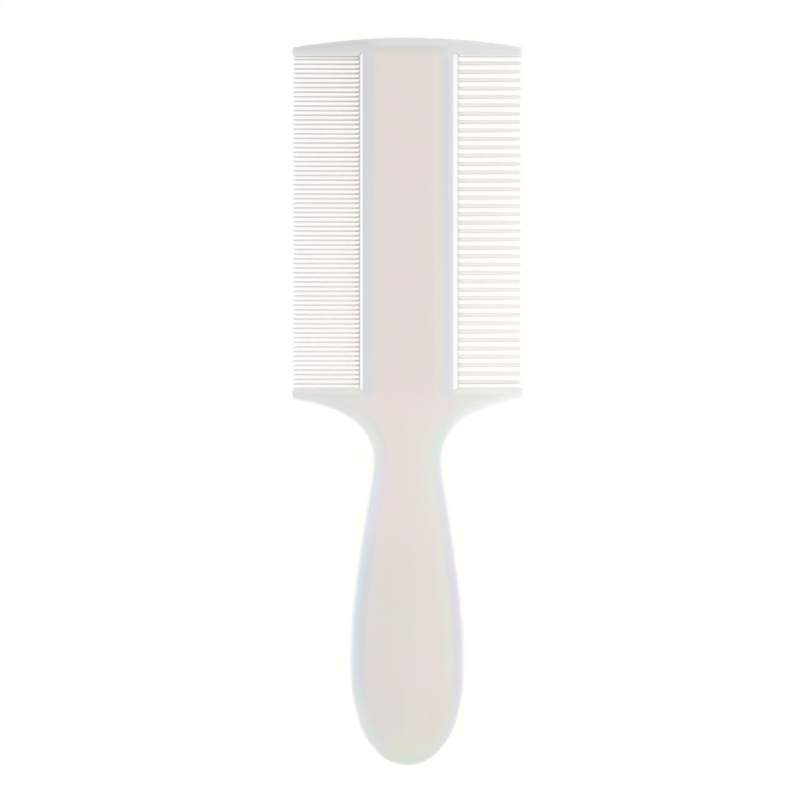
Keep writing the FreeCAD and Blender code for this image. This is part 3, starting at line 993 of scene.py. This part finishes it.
# ------------------------------------------------------------------ materials
class Nodes:
    """Short ways to add shader nodes. An input is a value or an output socket."""

    def __init__(self, material):
        material.use_nodes = True
        self.tree = material.node_tree
        self.tree.nodes.clear()

    def add(self, kind, inputs, **settings):
        node = self.tree.nodes.new(kind)
        for name, value in settings.items():
            setattr(node, name, value)
        for key, value in inputs.items():
            if isinstance(value, bpy.types.NodeSocket):
                self.tree.links.new(value, node.inputs[key])
            else:
                node.inputs[key].default_value = value
        return node

    def math(self, operation, a, b, clamp=False):
        return self.add("ShaderNodeMath", {0: a, 1: b},
                        operation=operation, use_clamp=clamp).outputs[0]

    def mix(self, factor, a, b, blend="MIX"):
        return self.add("ShaderNodeMix", {0: factor, 6: a, 7: b},
                        data_type="RGBA", blend_type=blend).outputs[2]

    def mapping(self, vector, **inputs):
        return self.add("ShaderNodeMapping", {"Vector": vector, **inputs}).outputs[0]

    def noise(self, vector, scale, detail, rough=0.5):
        return self.add("ShaderNodeTexNoise", {"Vector": vector, "Scale": scale,
                                               "Detail": detail, "Roughness": rough}).outputs[0]

    def remap(self, value, low, high, to_low=0.0, to_high=1.0, kind="SMOOTHSTEP"):
        return self.add("ShaderNodeMapRange",
                        {0: value, 1: low, 2: high, 3: to_low, 4: to_high},
                        interpolation_type=kind).outputs[0]


# soft pearly drifts of the colour: noise scale, detail, noise range, and the
# colour factors at its two ends
DRIFTS = [
    (34.0, 2.0, (0.36, 0.64), (1.007, 0.993, 1.000, 1.0), (0.993, 1.007, 0.989, 1.0)),
    (71.0, 2.0, (0.36, 0.64), (1.004, 0.998, 1.006, 1.0), (1.000, 1.002, 0.994, 1.0)),
    (240.0, 1.0, (0.34, 0.66), (1.010, 0.994, 1.003, 1.0), (0.993, 1.006, 0.991, 1.0)),
]
ROUGH = 0.34


def plastic(name, seed, mottle):
    """Milky moulded plastic over the tint of each point: flow marks, a fine
    moulded texture, light scratches along and across, and paler worn edges."""
    material = bpy.data.materials.new(name)
    n = Nodes(material)
    place = n.add("ShaderNodeTexCoord", {}).outputs["Object"]
    vector = n.mapping(place, Location=(seed, seed * 0.7, seed * 0.3))
    # the tint holds the painted light and shade worked out above
    colour = n.add("ShaderNodeAttribute", {}, attribute_type="GEOMETRY",
                   attribute_name="tint").outputs["Color"]
    for scale, detail, limits, start, end in DRIFTS:
        flow = n.remap(n.noise(vector, scale, detail), *limits)
        colour = n.mix(mottle, colour, n.mix(flow, start, end), "MULTIPLY")
    # worn corners are a touch paler
    pointiness = n.add("ShaderNodeNewGeometry", {}).outputs["Pointiness"]
    worn = n.remap(pointiness, 0.53, 0.60, to_high=0.30)
    colour = n.mix(worn, colour, (*linear((236, 236, 235)), 1.0))

    def scratches(angle, scale, stretch, low, high):
        turned = n.mapping(vector, Rotation=(0, 0, math.radians(angle)))
        stretched = n.mapping(turned, Scale=(1.0, stretch, 0.2))
        return n.remap(n.noise(stretched, scale, detail=1.0), low, high)

    marks = n.math("MAXIMUM",
                   scratches(angle=3, scale=3000.0, stretch=0.018, low=0.73, high=0.80),
                   scratches(angle=67, scale=2600.0, stretch=0.022, low=0.76, high=0.83))
    fine = n.noise(vector, scale=4200.0, detail=2.0, rough=0.6)
    # handling marks show a little paler, and the moulded grain as faint specks
    paler = n.mix(1.0, colour, (1.055, 1.055, 1.060, 1.0), "MULTIPLY")
    colour = n.mix(n.math("MULTIPLY", marks, 0.55 * mottle), colour, paler)
    grain = n.mix(n.remap(fine, 0.35, 0.65),
                  (0.993, 0.993, 0.993, 1.0), (1.007, 1.007, 1.007, 1.0))
    colour = n.mix(mottle, colour, grain, "MULTIPLY")
    # roughness drifts, and rises on marks and worn corners
    broad = n.noise(vector, scale=90.0, detail=3.0)
    rough = n.remap(broad, 0.3, 0.7, ROUGH - 0.04, ROUGH + 0.08, kind="LINEAR")
    rough = n.math("ADD", rough, n.math("MULTIPLY", marks, 0.12))
    rough = n.math("ADD", rough, n.math("MULTIPLY", worn, 0.20), clamp=True)
    # relief: soft ripples and grain, with the marks cut in
    height = n.math("MULTIPLY", n.noise(vector, scale=150.0, detail=2.0), 1.6)
    height = n.math("ADD", height, n.math("MULTIPLY", fine, 0.16))
    height = n.math("SUBTRACT", height, n.math("MULTIPLY", marks, 0.20))
    bump = n.add("ShaderNodeBump", {"Strength": 0.30, "Distance": 0.00005, "Height": height})
    surface = n.add("ShaderNodeBsdfPrincipled", {
        "Base Color": colour,
        "Roughness": rough,
        "Normal": bump.outputs[0],
        "IOR": 1.49,
        "Subsurface Weight": 0.30,
        "Subsurface Radius": (1.0, 0.94, 0.88),
        "Subsurface Scale": 0.0008,
        "Coat Weight": 0.12,
        "Coat Roughness": 0.12,
    })
    n.add("ShaderNodeOutputMaterial", {0: surface.outputs[0]})
    return material


for ob, name, seed, mottle in ((frame_ob, "frame_plastic", 0.0, 1.0),
                               (fine_ob, "fine_plastic", 0.3, 0.6),
                               (coarse_ob, "coarse_plastic", 0.6, 0.6)):
    ob.data.materials.clear()
    ob.data.materials.append(plastic(name, seed, mottle))


# ------------------------------------------------------------------ stage, metres
FLOOR_R, FLOOR_SIDES, FLOOR_Z = 3.0, 48, -0.00002


def floor_material():
    """Near-white glow with a little diffuse for the comb's shadow."""
    material = bpy.data.materials.new("floor_white")
    n = Nodes(material)
    diffuse = n.add("ShaderNodeBsdfDiffuse", {"Color": (0.12, 0.12, 0.12, 1)})
    glow = n.add("ShaderNodeEmission", {"Color": (0.905, 0.885, 0.850, 1), "Strength": 1.0})
    both = n.add("ShaderNodeAddShader", {0: diffuse.outputs[0], 1: glow.outputs[0]})
    n.add("ShaderNodeOutputMaterial", {0: both.outputs[0]})
    return material


def add_floor():
    """Round floor just under the comb, a fan of triangles."""
    mesh = bpy.data.meshes.new("floor")
    angles = [2 * math.pi * k / FLOOR_SIDES for k in range(FLOOR_SIDES)]
    verts = [(0, 0, FLOOR_Z)]
    verts += [(FLOOR_R * math.cos(a), FLOOR_R * math.sin(a), FLOOR_Z) for a in angles]
    faces = [(0, k + 1, (k + 1) % FLOOR_SIDES + 1) for k in range(FLOOR_SIDES)]
    mesh.from_pydata(verts, [], faces)
    ob = bpy.data.objects.new("floor", mesh)
    bpy.context.scene.collection.objects.link(ob)
    mesh.materials.append(floor_material())


def add_world():
    world = bpy.data.worlds.new("studio")
    bpy.context.scene.world = world
    world.use_nodes = True
    background = world.node_tree.nodes["Background"]
    background.inputs["Color"].default_value = (0.96, 0.97, 1.0, 1)
    background.inputs["Strength"].default_value = 0.47


def add_softbox(name, place, size, power, colour):
    """Rectangular light aimed at the origin."""
    light = bpy.data.lights.new(name, "AREA")
    light.shape = "RECTANGLE"
    light.size, light.size_y = size
    light.energy = power
    light.color = colour
    ob = bpy.data.objects.new(name, light)
    ob.location = place
    aim = Vector((0, 0, 0)) - Vector(place)
    ob.rotation_mode = "QUATERNION"
    ob.rotation_quaternion = aim.to_track_quat("-Z", "Y")
    bpy.context.scene.collection.objects.link(ob)


def add_camera():
    """Straight above the comb, with the end bar towards the top of the view."""
    field = 209.1 * MM        # width seen at the comb's middle plane
    camera = bpy.data.cameras.new("camera")
    camera.sensor_width = 36.0
    camera.lens = 100.0
    camera.clip_start, camera.clip_end = 0.01, 10.0
    ob = bpy.data.objects.new("camera", camera)
    bpy.context.scene.collection.objects.link(ob)
    height = field * camera.lens / camera.sensor_width
    ob.location = (-1.96 * MM, 0.37 * MM, HALF_T * MM + height)
    bpy.context.scene.camera = ob


add_floor()
add_world()
# name, place, size, power in watts, colour
for softbox in (
        ("left_softbox", (-0.62, 0.0, 0.17), (0.30, 0.62), 1.50, (0.95, 0.97, 1.0)),
        ("right_softbox", (0.62, 0.0, 0.20), (0.36, 0.62), 1.44, (0.98, 0.97, 1.0)),
        ("head_softbox", (0.0, 0.66, 0.18), (0.62, 0.30), 1.10, (0.99, 0.98, 0.98)),
        ("foot_softbox", (0.0, -0.66, 0.18), (0.62, 0.30), 1.10, (0.99, 0.98, 0.98)),
        ("top_softbox", (0.06, -0.02, 0.80), (0.8, 0.8), 2.30, (1.0, 0.98, 0.96))):
    add_softbox(*softbox)
add_camera()
bpy.context.scene.view_settings.view_transform = "Standard"
bpy.context.scene.view_settings.look = "None"
